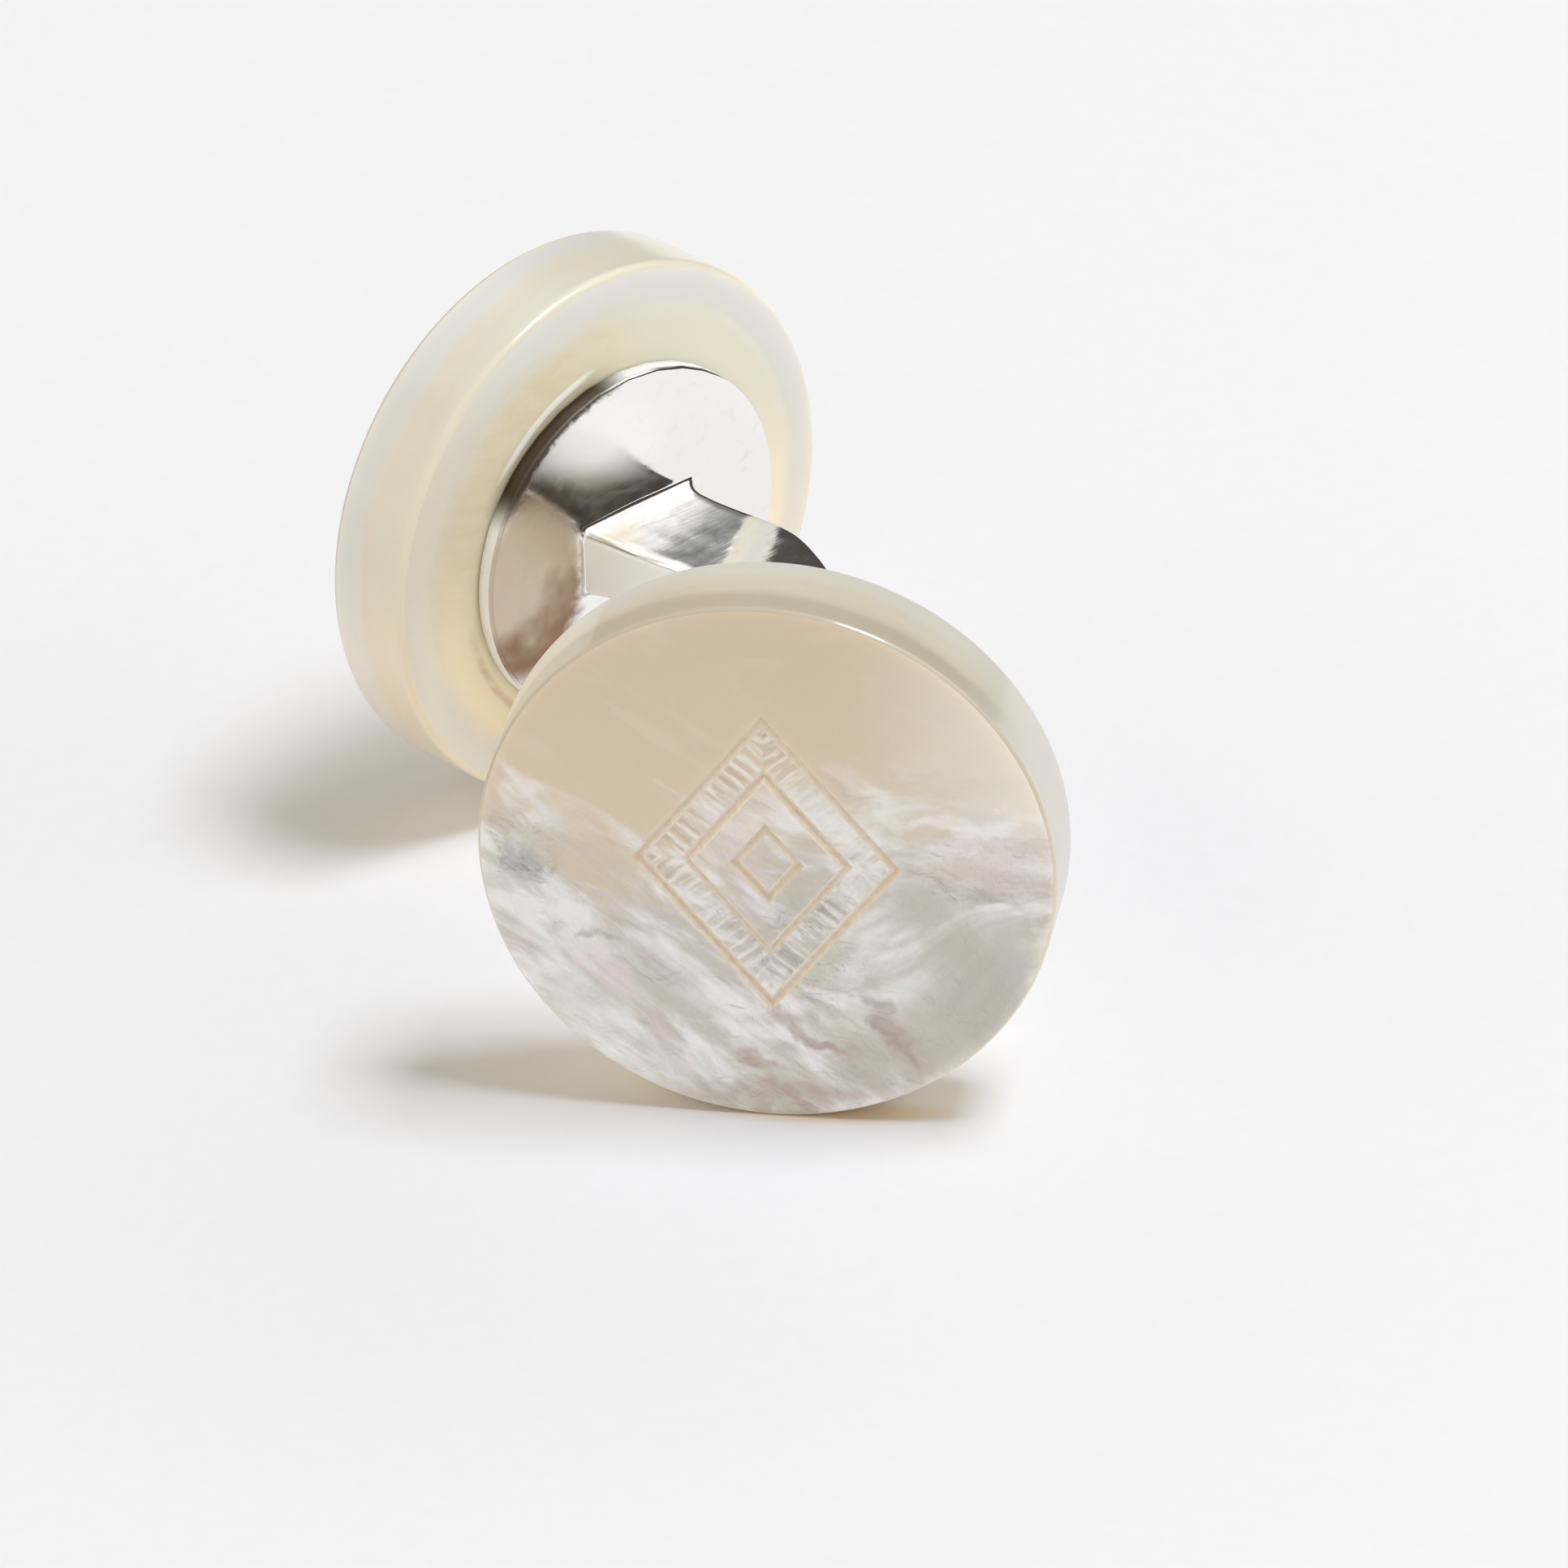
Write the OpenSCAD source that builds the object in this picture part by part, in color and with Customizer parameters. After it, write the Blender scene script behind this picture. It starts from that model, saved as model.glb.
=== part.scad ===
// Double-sided cufflink: two round pearl-shell discs on a bent silver bar.
// The bar lies level and both discs stand on their rims, on the plane z = 0.
// The line between the discs runs along Y, and the bar bows towards +X.
// Lengths are in millimetres.

/* [Pearl discs] */
// Diameter of both discs
disc_d = 15; // [14.6:0.1:20]
// Thickness from the face to the back rim
disc_t = 2.64; // [2:0.02:4]
// Rounding of the face's edge
face_edge_r = 0.12; // [0.05:0.01:0.4]
// Rounding of the back rim
rim_edge_r = 0.16; // [0.1:0.02:0.4]
// Radius at which the back starts to rise
shoulder_r = 6.4; // [5.8:0.1:6.6]
// Rise of the back at that radius
shoulder_rise = 0.06; // [0:0.01:0.15]
// Radius of the flat seat under the base plate
seat_r = 5.3; // [5.2:0.05:5.6]
// Rise of the seat above the back rim
seat_rise = 0.34; // [0.2:0.02:0.5]

/* [Engraving] */
// Width of the engraved lozenge
lozenge_w = 7; // [5:0.1:8]
// Height of the engraved lozenge
lozenge_h = 8.7; // [6:0.1:10]
// Width of its stroke
stroke_w = 1.2; // [0.6:0.1:1.6]
// Height of the small lozenge in the middle
heart_h = 2.4; // [1:0.1:3]
// Depth of the engraving
engrave_depth = 0.2; // [0.1:0.05:0.4]

/* [Link] */
// Distance between the centres of the two back rims
centre_gap = 15.87; // [14:0.01:18]
// Angle between the axes of the two discs
bend = 52.7; // [30:0.1:60]
// Width of the slightly oval base plates, in the plane of the bend
plate_w = 10.15; // [9:0.05:10.2]
// Height of the base plates
plate_h = 9.7; // [9:0.05:10.2]
// Thickness of the base plates
plate_t = 0.5; // [0.3:0.05:0.8]
// Angle by which the bar's ends lean outwards from the disc axes
bar_lean = 6.65; // [0:0.05:10]
// Radius of the bar's bend, at its middle line
bend_r = 9; // [7:0.1:9]
// Rounding of the bar's long edges
bar_edge_r = 0.24; // [0.1:0.02:0.4]
// Clearance between a base plate and its seat
seat_gap = 0.03; // [0.01:0.01:0.1]

/* [Hidden] */

pearl = [0.92, 0.88, 0.81];
silver = [0.78, 0.78, 0.77];

disc_r = disc_d / 2;
half_bend = bend / 2;

// Heights along a disc's axis, from its back rim towards the bar
plate_foot = seat_rise + seat_gap;
plate_top = plate_foot + plate_t;

// The box around both discs is centred on the origin
x_low = -(disc_r - face_edge_r) * cos(half_bend) - (disc_t - face_edge_r) * sin(half_bend)
    - face_edge_r;
x_high = (disc_r - rim_edge_r) * cos(half_bend) - rim_edge_r * sin(half_bend) + rim_edge_r;
x_shift = -(x_low + x_high) / 2;

// The middle line of half the bar: a straight limb from the plate, then an arc to the apex
limb_angle = half_bend + bar_lean;
foot_x = plate_top * sin(half_bend);
foot_y = centre_gap / 2 - plate_top * cos(half_bend);
limb_len = (foot_y - bend_r * sin(limb_angle)) / cos(limb_angle);
half_len = limb_len + bend_r * limb_angle * PI / 180;
apex_x = foot_x + limb_len * sin(limb_angle) + bend_r * (1 - cos(limb_angle));
// Length over which a section turns from the plate's plane square to the limb
turn_len = 0.8;
// How far the bar's foot reaches into the plate
foot_depth = plate_t / 2;

// Sections of half the bar, a row each: distance from the plate, half width on
// the outer side of the bend, half width on the inner side, and half height
ALONG = 0;
OUTER = 1;
INNER = 2;
TALL = 3;
sections = [
    [-foot_depth, 2.32, 1.84, 1.00],
    [0.00, 2.32, 1.84, 1.00],
    [0.12, 2.18, 1.79, 0.98],
    [0.30, 2.08, 1.75, 0.95],
    [0.60, 2.00, 1.72, 0.91],
    [1.20, 1.95, 1.70, 0.87],
    [2.60, 1.98, 1.67, 0.85],
    [3.30, 2.01, 1.62, 0.84],
    [3.80, 2.01, 1.52, 0.84],
    [4.20, 1.93, 1.42, 0.84],
    [5.00, 1.69, 1.25, 0.84],
    [6.00, 1.42, 0.99, 0.83],
    [6.80, 1.14, 0.81, 0.76],
    [half_len, 1.00, 0.72, 0.70]
];
// Rings along half the bar, and the spacing at the foot against the mean spacing
steps_per_half = 22;
foot_spacing = 0.35;
// Steps round a corner of the bar, and points round a base plate
edge_steps = 3;
plate_steps = 72;
// How far the engraving's cutting shape stands out of the face
cut_margin = 1;

function column(name) = [for (row = sections) [row[ALONG], row[name]]];
outer_of = column(OUTER);
inner_of = column(INNER);
tall_of = column(TALL);

// Points of a quarter circle about a centre, from one angle to another
function arc(cx, cy, r, from, to, steps) =
    [for (i = [0:steps])
        let (a = from + (to - from) * i / steps)
        [cx + r * cos(a), cy + r * sin(a)]];

// Middle line of the rear half of the bar, at a distance from the plate
function line_point(s) =
    s < limb_len
    ? [foot_x + s * sin(limb_angle), foot_y - s * cos(limb_angle)]
    : let (a = (half_len - s) / bend_r * 180 / PI)
      [apex_x - bend_r * (1 - cos(a)), bend_r * sin(a)];

// Angle of a section's normal from the Y axis
function turn(s) =
    s < limb_len
    ? half_bend + bar_lean * min(1, max(0, s / turn_len))
    : (half_len - s) / bend_r * 180 / PI;

// Outline of a section: [across the bar, up], with round corners
function outline(s) =
    let (r = bar_edge_r,
         right = lookup(s, outer_of) - r,
         left = r - lookup(s, inner_of),
         top = lookup(s, tall_of) - r)
    concat(
        arc(right, top, r, 0, 90, edge_steps),
        arc(left, top, r, 90, 180, edge_steps),
        arc(left, -top, r, 180, 270, edge_steps),
        arc(right, -top, r, 270, 360, edge_steps)
    );

// One ring of the bar. side is 1 for the rear half and -1 for the front half
function ring(s, side) =
    let (c = line_point(s), a = turn(s))
    [for (p = outline(s)) [c[0] + p[0] * cos(a), side * (c[1] + p[0] * sin(a)), p[1]]];

// Distances of the rings, closer together at the foot
function station(i) =
    let (t = i / steps_per_half)
    -foot_depth + (half_len + foot_depth) * t * (foot_spacing + (1 - foot_spacing) * t);

rear_rings = [for (i = [0:steps_per_half]) ring(station(i), 1)];
front_rings = [for (i = [steps_per_half - 1:-1:0]) ring(station(i), -1)];
rings = concat(rear_rings, front_rings);
ring_size = len(rings[0]);

module bar() {
    last = len(rings) - 1;
    points = [for (r = rings) for (p = r) p];
    walls = [for (i = [0:last - 1]) for (j = [0:ring_size - 1])
        let (k = (j + 1) % ring_size)
        [(i + 1) * ring_size + j, (i + 1) * ring_size + k, i * ring_size + k, i * ring_size + j]];
    rear_cap = [for (j = [0:ring_size - 1]) j];
    front_cap = [for (j = [ring_size - 1:-1:0]) last * ring_size + j];
    polyhedron(points = points, faces = concat([rear_cap], walls, [front_cap]), convexity = 6);
}

// Moves a shape made about a disc's axis to the rear or front end. There, z = 0
// is the plane of the back rim and +z points towards the bar
module at_end(side) {
    translate([x_shift, side * centre_gap / 2, disc_r])
        rotate([0, 0, side * half_bend])
            rotate([side * 90, 0, 0])
                children();
}

module disc_body() {
    rotate_extrude($fn = 128)
        polygon(concat(
            [[0, -disc_t]],
            arc(disc_r - face_edge_r, -disc_t + face_edge_r, face_edge_r, -90, 0, 4),
            arc(disc_r - rim_edge_r, -rim_edge_r, rim_edge_r, 0, 80, 5),
            [[shoulder_r, shoulder_rise], [seat_r, seat_rise], [0, seat_rise]]
        ));
}

module lozenge(w, h) {
    polygon([[w / 2, 0], [0, h / 2], [-w / 2, 0], [0, -h / 2]]);
}

// A lozenge frame round a small lozenge, cut into the face
module engraving() {
    slant = sqrt(lozenge_w * lozenge_w + lozenge_h * lozenge_h);
    inner_h = lozenge_h - 2 * stroke_w * slant / lozenge_w;
    ratio = lozenge_w / lozenge_h;
    translate([0, 0, -disc_t - cut_margin])
        linear_extrude(height = cut_margin + engrave_depth) {
            difference() {
                lozenge(lozenge_w, lozenge_h);
                lozenge(inner_h * ratio, inner_h);
            }
            lozenge(heart_h * ratio, heart_h);
        }
}

module base_plate() {
    oval = [for (i = [0:plate_steps - 1])
        let (a = 360 * i / plate_steps)
        [plate_w / 2 * cos(a), plate_h / 2 * sin(a)]];
    translate([0, 0, plate_foot])
        linear_extrude(height = plate_t)
            polygon(oval);
}

module front_pearl_disc() {
    color(pearl)
        at_end(-1)
            difference() {
                disc_body();
                engraving();
            }
}

module rear_pearl_disc() {
    color(pearl)
        at_end(1)
            disc_body();
}

// Bar and base plates, soldered into one piece
module silver_link() {
    color(silver)
        union() {
            translate([x_shift, 0, disc_r])
                bar();
            at_end(1)
                base_plate();
            at_end(-1)
                base_plate();
        }
}

front_pearl_disc();
rear_pearl_disc();
silver_link();
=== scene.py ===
"""A double-sided cufflink: two round pearl-shell discs on a bent silver bar.

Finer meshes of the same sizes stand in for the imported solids. Shapes are worked
out in millimetres and stored in metres.
"""

import math

import bpy
import numpy as np
from mathutils import Matrix, Vector


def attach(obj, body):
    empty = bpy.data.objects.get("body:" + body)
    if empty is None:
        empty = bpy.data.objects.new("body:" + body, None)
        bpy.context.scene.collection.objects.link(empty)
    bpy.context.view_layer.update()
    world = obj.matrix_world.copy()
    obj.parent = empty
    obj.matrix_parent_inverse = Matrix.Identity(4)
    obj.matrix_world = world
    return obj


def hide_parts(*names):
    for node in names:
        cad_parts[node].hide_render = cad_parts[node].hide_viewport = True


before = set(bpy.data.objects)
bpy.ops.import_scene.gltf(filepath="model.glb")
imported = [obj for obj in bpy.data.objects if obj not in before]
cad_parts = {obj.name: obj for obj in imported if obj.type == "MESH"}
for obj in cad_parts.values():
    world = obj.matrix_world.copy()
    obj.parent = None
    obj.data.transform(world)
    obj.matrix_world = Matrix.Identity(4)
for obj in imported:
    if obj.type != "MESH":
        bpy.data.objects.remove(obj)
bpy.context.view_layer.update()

MM = 0.001
# The two ends of the cufflink, along Y
FRONT = -1
REAR = 1

# Discs. The face's edge is a crowned bevel between two angles in degrees, rounded at both sides
DISC_R = 7.5
DISC_T = 2.64
FACE_EDGE_R = 0.03
BEVEL_R = 0.24
BEVEL_START = -42
BEVEL_END = -18
# Rounding of the back rim, then the back's shoulder and its seat for the base plate
RIM_EDGE_R = 0.26
SHOULDER_R = 6.4
SHOULDER_RISE = 0.06
SEAT_R = 5.3
SEAT_RISE = 0.34
# Profile of the back, as radius and depth from the back rim
BACK_PROFILE = (
    (7.05, 0.02),
    (6.8, 0.045),
    (SHOULDER_R + 0.1, SHOULDER_RISE - 0.005),
    (SHOULDER_R, SHOULDER_RISE + 0.01),
    (SHOULDER_R - 0.12, SHOULDER_RISE + 0.045),
    (5.9, 0.2),
    (SEAT_R + 0.12, SEAT_RISE - 0.03),
    (SEAT_R, SEAT_RISE),
    (5.0, SEAT_RISE),
    (2.5, SEAT_RISE),
)
# Material slots of a disc
FACE, CUT, WALL, BACK = range(4)

# Frame and small lozenge engraved in the front face, and the width of the frame's stroke
LOZENGE_W = 7.0
LOZENGE_H = 8.7
STROKE_W = 1.2
HEART_H = 2.4
# Distances of the frame's outer and inner sides, and of the small lozenge's, from the centre
DIAGONAL = math.hypot(LOZENGE_W, LOZENGE_H)
OUTER_REACH = LOZENGE_W * LOZENGE_H / 2 / DIAGONAL
INNER_REACH = OUTER_REACH - STROKE_W
HEART_REACH = OUTER_REACH * HEART_H / LOZENGE_H
# Points along each side of a lozenge
EDGE_STEPS = 140
# Profile of the cut, as distance inside its edge and depth: a fine groove, then a floor
CUT_PROFILE = ((-0.03, 0.0), (0.0, 0.02), (0.05, 0.15), (0.10, 0.19), (0.15, 0.15), (0.24, 0.11))
# Distances inside an edge at which rings lie, and between which the duller cut line runs
EDGE_RINGS = (-0.05, -0.03, 0.0, 0.03, 0.06, 0.09, 0.12, 0.16, 0.20, 0.25)
CUT_LINE_START = -0.01
CUT_LINE_END = 0.22
# Tool marks on the frame's floor, and how far inside its edges they start
HATCH_PITCH = 0.34
HATCH_DEPTH = 0.07
HATCH_INSET = 0.25
# Distance outside the frame at which the face's own rings start
FIELD_MARGIN = 0.06

# Link. X_SHIFT brings the middle of the cufflink's box over the origin
CENTRE_GAP = 15.87
HALF_BEND = math.radians(52.7 / 2)
X_SHIFT = 0.5927
# Base plates, whose foot and top are measured from the back rim
PLATE_W = 10.15
PLATE_H = 9.7
PLATE_T = 0.5
PLATE_FOOT = 0.37
PLATE_TOP = PLATE_FOOT + PLATE_T
PLATE_EDGE_R = 0.1
PLATE_CHAMFER = 0.03
# Material slots of the link: all its metal, apart from the plates' own edges
METAL, PLATE_EDGE = range(2)
# Bar: lean of its ends, radius of its bend, length over which a section turns, rounding
BAR_LEAN = math.radians(6.65)
BEND_R = 9.0
TURN_LEN = 0.8
BAR_EDGE_R = 0.28
# Steps round a corner of the bar, and along its narrow and its broad sides
CORNER_STEPS = 8
NARROW_STEPS = 8
BROAD_STEPS = 16
# Width of the plate's fine ring round the foot of the bar
FOOT_MARGIN = 0.22
# Length over which one section of the bar runs smoothly into the next
BLEND_LEN = 0.25

# Half the bar, a row each: distance from the plate, half width on the outer side
# of the bend, half width on the inner side, and half height
BAR_SECTIONS = (
    (0.00, 2.32, 1.84, 1.00),
    (0.12, 2.18, 1.79, 0.98),
    (0.30, 2.08, 1.75, 0.95),
    (0.60, 2.00, 1.72, 0.915),
    (1.20, 1.95, 1.70, 0.88),
    (1.90, 1.96, 1.69, 0.855),
    (2.60, 1.98, 1.67, 0.848),
    (3.30, 2.01, 1.62, 0.84),
    (3.80, 2.01, 1.52, 0.84),
    (4.20, 1.93, 1.42, 0.84),
    (5.00, 1.69, 1.25, 0.84),
    (6.00, 1.42, 0.99, 0.83),
    (6.80, 1.14, 0.81, 0.76),
    (7.871, 1.00, 0.72, 0.70),
)


# Shapes

def end_frame(side):
    """Centre of a disc's back rim, its level direction and its axis towards the bar."""
    centre = Vector((X_SHIFT, side * CENTRE_GAP / 2, DISC_R))
    across = Vector((math.cos(HALF_BEND), side * math.sin(HALF_BEND), 0))
    axis = Vector((math.sin(HALF_BEND), -side * math.cos(HALF_BEND), 0))
    return centre, across, axis


def at_end(side, points):
    """Puts points given as across, up and depth at the rear or front end."""
    centre, across, axis = end_frame(side)
    up = Vector((0, 0, 1))
    return [centre + across * a + up * u + axis * d for a, u, d in points]


def skin(name, rings, bands, poles):
    """Joins equal rings of points into one closed mesh, with a pole at each end.

    bands gives the material slot of the faces before each ring, and then of the
    last fan.
    """
    size = len(rings[0])
    points = [poles[0]] + [p for ring in rings for p in ring] + [poles[1]]
    last = len(points) - 1
    faces = []
    slots = []
    for j in range(size):
        faces.append((0, 1 + (j + 1) % size, 1 + j))
        slots.append(bands[0])
    for i in range(len(rings) - 1):
        a = 1 + i * size
        b = a + size
        for j in range(size):
            k = (j + 1) % size
            faces.append((a + j, a + k, b + k, b + j))
            slots.append(bands[i + 1])
    a = 1 + (len(rings) - 1) * size
    for j in range(size):
        faces.append((last, a + j, a + (j + 1) % size))
        slots.append(bands[-1])
    mesh = bpy.data.meshes.new(name)
    mesh.from_pydata([tuple(Vector(p) * MM) for p in points], [], faces)
    mesh.polygons.foreach_set("material_index", slots)
    mesh.polygons.foreach_set("use_smooth", [True] * len(faces))
    mesh.update()
    piece = bpy.data.objects.new(name, mesh)
    bpy.context.collection.objects.link(piece)
    return piece


def quarter(centre_r, centre_d, r, start, stop, steps):
    """Points of a rounded edge, as radius and depth."""
    angles = np.radians(np.linspace(start, stop, steps + 1))
    return [(centre_r + r * math.cos(a), centre_d + r * math.sin(a)) for a in angles]


def face_edge():
    """Narrow crowned bevel between the face and the wall, as radius and depth."""
    rows = [(DISC_R, 0.0)]
    arcs = ((FACE_EDGE_R, 0, BEVEL_END, 2), (BEVEL_R, BEVEL_END, BEVEL_START, 5),
            (FACE_EDGE_R, BEVEL_START, -90, 3))
    for r, start, stop, steps in arcs:
        first = rows[-1]
        centre_r = first[0] - r * math.cos(math.radians(start))
        centre_d = first[1] - r * math.sin(math.radians(start))
        rows += quarter(centre_r, centre_d, r, start, stop, steps)[1:]
    foot = -DISC_T - rows[-1][1]
    return [(r, d + foot) for r, d in reversed(rows)]


def lozenge_ring(reach):
    """Points round a lozenge whose sides lie at that distance from the centre."""
    scale = reach / OUTER_REACH
    corners = ((LOZENGE_W / 2, 0), (0, LOZENGE_H / 2), (-LOZENGE_W / 2, 0), (0, -LOZENGE_H / 2))
    points = []
    for i in range(4):
        a = np.array(corners[i]) * scale
        b = np.array(corners[(i + 1) % 4]) * scale
        points += [a + (b - a) * j / EDGE_STEPS for j in range(EDGE_STEPS)]
    return points


def cut_depth(inside):
    """Depth of the engraving at a distance inside its edge."""
    distances, depths = zip(*CUT_PROFILE)
    return float(np.interp(inside, distances, depths))


def hatch(x, y):
    """Tool marks across the stroke, from the distance along the lozenge's side."""
    along = (LOZENGE_H * abs(y) - LOZENGE_W * abs(x)) / DIAGONAL
    count = along / HATCH_PITCH
    mark = 0.5 - 0.5 * math.cos(2 * math.pi * count)
    # Each mark has its own strength, and each side of the lozenge its own row of them
    phase = 7.3 * math.floor(count) + 2.1 * (x > 0) + 4.4 * (y > 0)
    strength = 0.55 + 0.45 * math.sin(phase)
    return HATCH_DEPTH * mark ** 2 * strength


def face_rings():
    """Rings of the engraved face out to its edge, and the slot of the faces before each."""
    reaches = [HEART_REACH * f for f in (0.12, 0.3, 0.5)]
    reaches += [HEART_REACH - e for e in reversed(EDGE_RINGS)]
    reaches += [HEART_REACH + (INNER_REACH - HEART_REACH) * f for f in (0.3, 0.6, 0.85)]
    reaches += [INNER_REACH + e for e in EDGE_RINGS]
    reaches += [INNER_REACH + STROKE_W * f for f in (0.28, 0.36, 0.44, 0.52, 0.6, 0.68, 0.74)]
    reaches += [OUTER_REACH - e for e in reversed(EDGE_RINGS)]
    rings = []
    bands = []
    for reach in reaches:
        # Distance inside the edge of the small lozenge or of the frame
        inside = max(HEART_REACH - reach, min(reach - INNER_REACH, OUTER_REACH - reach))
        depth = cut_depth(inside)
        hatched = inside > HATCH_INSET and reach > INNER_REACH
        ring = []
        for x, y in lozenge_ring(reach):
            extra = hatch(x, y) if hatched else 0
            ring.append((x, y, -DISC_T + depth + extra))
        rings.append(ring)
        bands.append(CUT if CUT_LINE_START < inside < CUT_LINE_END else FACE)
    outer = np.array(lozenge_ring(OUTER_REACH + FIELD_MARGIN))
    flat_r = face_edge()[0][0]
    round_face = outer / np.linalg.norm(outer, axis=1)[:, None] * flat_r
    for f in (0.08, 0.2, 0.35, 0.5, 0.65, 0.8, 0.9, 0.97, 1.0):
        rings.append([(x, y, -DISC_T) for x, y in outer + (round_face - outer) * f])
        bands.append(FACE)
    return rings, bands


def plain_rings():
    """Rings of a plain face."""
    directions = np.array(lozenge_ring(1.0))
    directions /= np.linalg.norm(directions, axis=1)[:, None]
    flat_r = face_edge()[0][0]
    rings = []
    for r in (0.5, 1.5, 2.5, 3.5, 4.5, 5.5, 6.5, 7.0, 7.3, flat_r):
        rings.append([(x, y, -DISC_T) for x, y in directions * r])
    return rings, [FACE] * len(rings)


def make_disc(name, side, engraved):
    """A pearl-shell disc at one end, its face engraved or plain."""
    rings, bands = face_rings() if engraved else plain_rings()
    directions = np.array(rings[-1])[:, :2]
    directions /= np.linalg.norm(directions, axis=1)[:, None]
    wall = face_edge()[1:]
    lower, upper = wall[-1][1], -RIM_EDGE_R
    wall += [(DISC_R, lower + (upper - lower) * f) for f in (0.05, 0.25, 0.5, 0.75, 0.95)]
    wall += quarter(DISC_R - RIM_EDGE_R, -RIM_EDGE_R, RIM_EDGE_R, 0, 70, 7)
    for slot, rows in ((WALL, wall), (BACK, BACK_PROFILE)):
        for r, depth in rows:
            rings.append([(x, y, depth) for x, y in directions * r])
            bands.append(slot)
    bands.append(BACK)
    poles = at_end(side, [(0, 0, rings[0][0][2]), (0, 0, SEAT_RISE)])
    if side == REAR:
        rings = [list(reversed(ring)) for ring in rings]
    return skin(name, [at_end(side, ring) for ring in rings], bands, poles)


def bar_geometry():
    """Half the bar's middle line: its limb's angle, foot and length, its whole length, its apex."""
    limb_angle = HALF_BEND + BAR_LEAN
    foot = (PLATE_TOP * math.sin(HALF_BEND), CENTRE_GAP / 2 - PLATE_TOP * math.cos(HALF_BEND))
    limb_len = (foot[1] - BEND_R * math.sin(limb_angle)) / math.cos(limb_angle)
    half_len = limb_len + BEND_R * limb_angle
    apex_x = foot[0] + limb_len * math.sin(limb_angle) + BEND_R * (1 - math.cos(limb_angle))
    return limb_angle, foot, limb_len, half_len, apex_x


def bar_outline(s):
    """Outline of the bar at a distance from the plate, as across and up."""
    table = np.array(BAR_SECTIONS)
    nearby = s + np.linspace(-BLEND_LEN, BLEND_LEN, 7) * min(1, s / BLEND_LEN)
    outer, inner, tall = [float(np.interp(nearby, table[:, 0], table[:, i]).mean()) for i in (1, 2, 3)]
    r = BAR_EDGE_R
    corners = ((outer - r, -tall + r, -90), (outer - r, tall - r, 0),
               (-inner + r, tall - r, 90), (-inner + r, -tall + r, 180))
    flats = (NARROW_STEPS, BROAD_STEPS, NARROW_STEPS, BROAD_STEPS)
    points = []
    for i, (x, y, start) in enumerate(corners):
        angles = np.radians(np.linspace(start, start + 90, CORNER_STEPS + 1))
        arc = [(x + r * math.cos(a), y + r * math.sin(a)) for a in angles]
        nx, ny, following = corners[(i + 1) % 4]
        a = math.radians(following)
        end = (nx + r * math.cos(a), ny + r * math.sin(a))
        points += arc
        x, y = arc[-1]
        for j in range(1, flats[i]):
            f = j / flats[i]
            points.append((x + (end[0] - x) * f, y + (end[1] - y) * f))
    return points


def bar_ring(s, side):
    """One ring of the bar, in the part's frame."""
    limb_angle, foot, limb_len, half_len, apex_x = bar_geometry()
    if s < limb_len:
        centre = (foot[0] + s * math.sin(limb_angle), foot[1] - s * math.cos(limb_angle))
        turn = HALF_BEND + BAR_LEAN * min(1, max(0, s / TURN_LEN))
    else:
        turn = (half_len - s) / BEND_R
        centre = (apex_x - BEND_R * (1 - math.cos(turn)), BEND_R * math.sin(turn))
    ring = []
    for across, up in bar_outline(s):
        x = centre[0] + across * math.cos(turn) + X_SHIFT
        y = side * (centre[1] + across * math.sin(turn))
        ring.append(Vector((x, y, up + DISC_R)))
    return ring


def plate_rings(side):
    """Rings of a base plate from its underside to the foot of the bar."""
    foot = np.array(bar_outline(0.0))
    bearing = np.arctan2(foot[:, 1] / PLATE_H, foot[:, 0] / PLATE_W)
    oval = np.stack([np.cos(bearing) * PLATE_W / 2, np.sin(bearing) * PLATE_H / 2], axis=1)
    rings = [[(x, y, PLATE_FOOT) for x, y in oval * f] for f in (0.5, 0.97)]
    bands = [METAL] * len(rings)
    reach = np.linalg.norm(oval, axis=1)[:, None]
    side_rows = ((PLATE_CHAMFER, PLATE_FOOT), (0.0, PLATE_FOOT + PLATE_CHAMFER), (0.0, PLATE_FOOT + 0.2),
                 (0.0, PLATE_TOP - PLATE_EDGE_R))
    for inset, depth in side_rows:
        rings.append([(x, y, depth) for x, y in oval * (1 - inset / reach)])
        bands.append(PLATE_EDGE)
    for a in np.radians(np.linspace(15, 90, 6)):
        inset = PLATE_EDGE_R * (1 - math.cos(a))
        depth = PLATE_TOP - PLATE_EDGE_R + PLATE_EDGE_R * math.sin(a)
        rings.append([(x, y, depth) for x, y in oval * (1 - inset / reach)])
        bands.append(METAL)
    rim = oval * (1 - 2 * PLATE_EDGE_R / reach)
    wide = foot * (1 + FOOT_MARGIN / np.linalg.norm(foot, axis=1)[:, None])
    for f in (0.0, 0.35, 0.7, 0.95, 1.0):
        rings.append([(x, y, PLATE_TOP) for x, y in rim + (wide - rim) * f])
        bands.append(METAL)
    return [at_end(side, ring) for ring in rings], bands


def make_link():
    """Both base plates and the bar between them, as one piece of metal."""
    half_len = bar_geometry()[3]
    stations = list(np.linspace(0.03, 0.3, 6)) + list(np.linspace(0.4, 1.4, 8))
    stations += list(np.linspace(1.6, half_len, 40))
    rear, bands = plate_rings(REAR)
    front = plate_rings(FRONT)[0]
    rear_bar = [bar_ring(s, REAR) for s in stations]
    front_bar = [bar_ring(s, FRONT) for s in reversed(stations[:-1])]
    rings = rear + rear_bar + front_bar + list(reversed(front))
    bands = bands + [METAL] * (len(rear_bar) + len(front_bar) + 1) + list(reversed(bands))
    poles = at_end(REAR, [(0, 0, PLATE_FOOT)]) + at_end(FRONT, [(0, 0, PLATE_FOOT)])
    return skin("silver_bar_and_plates", rings, bands, poles)


# Colours of the finishes

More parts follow.
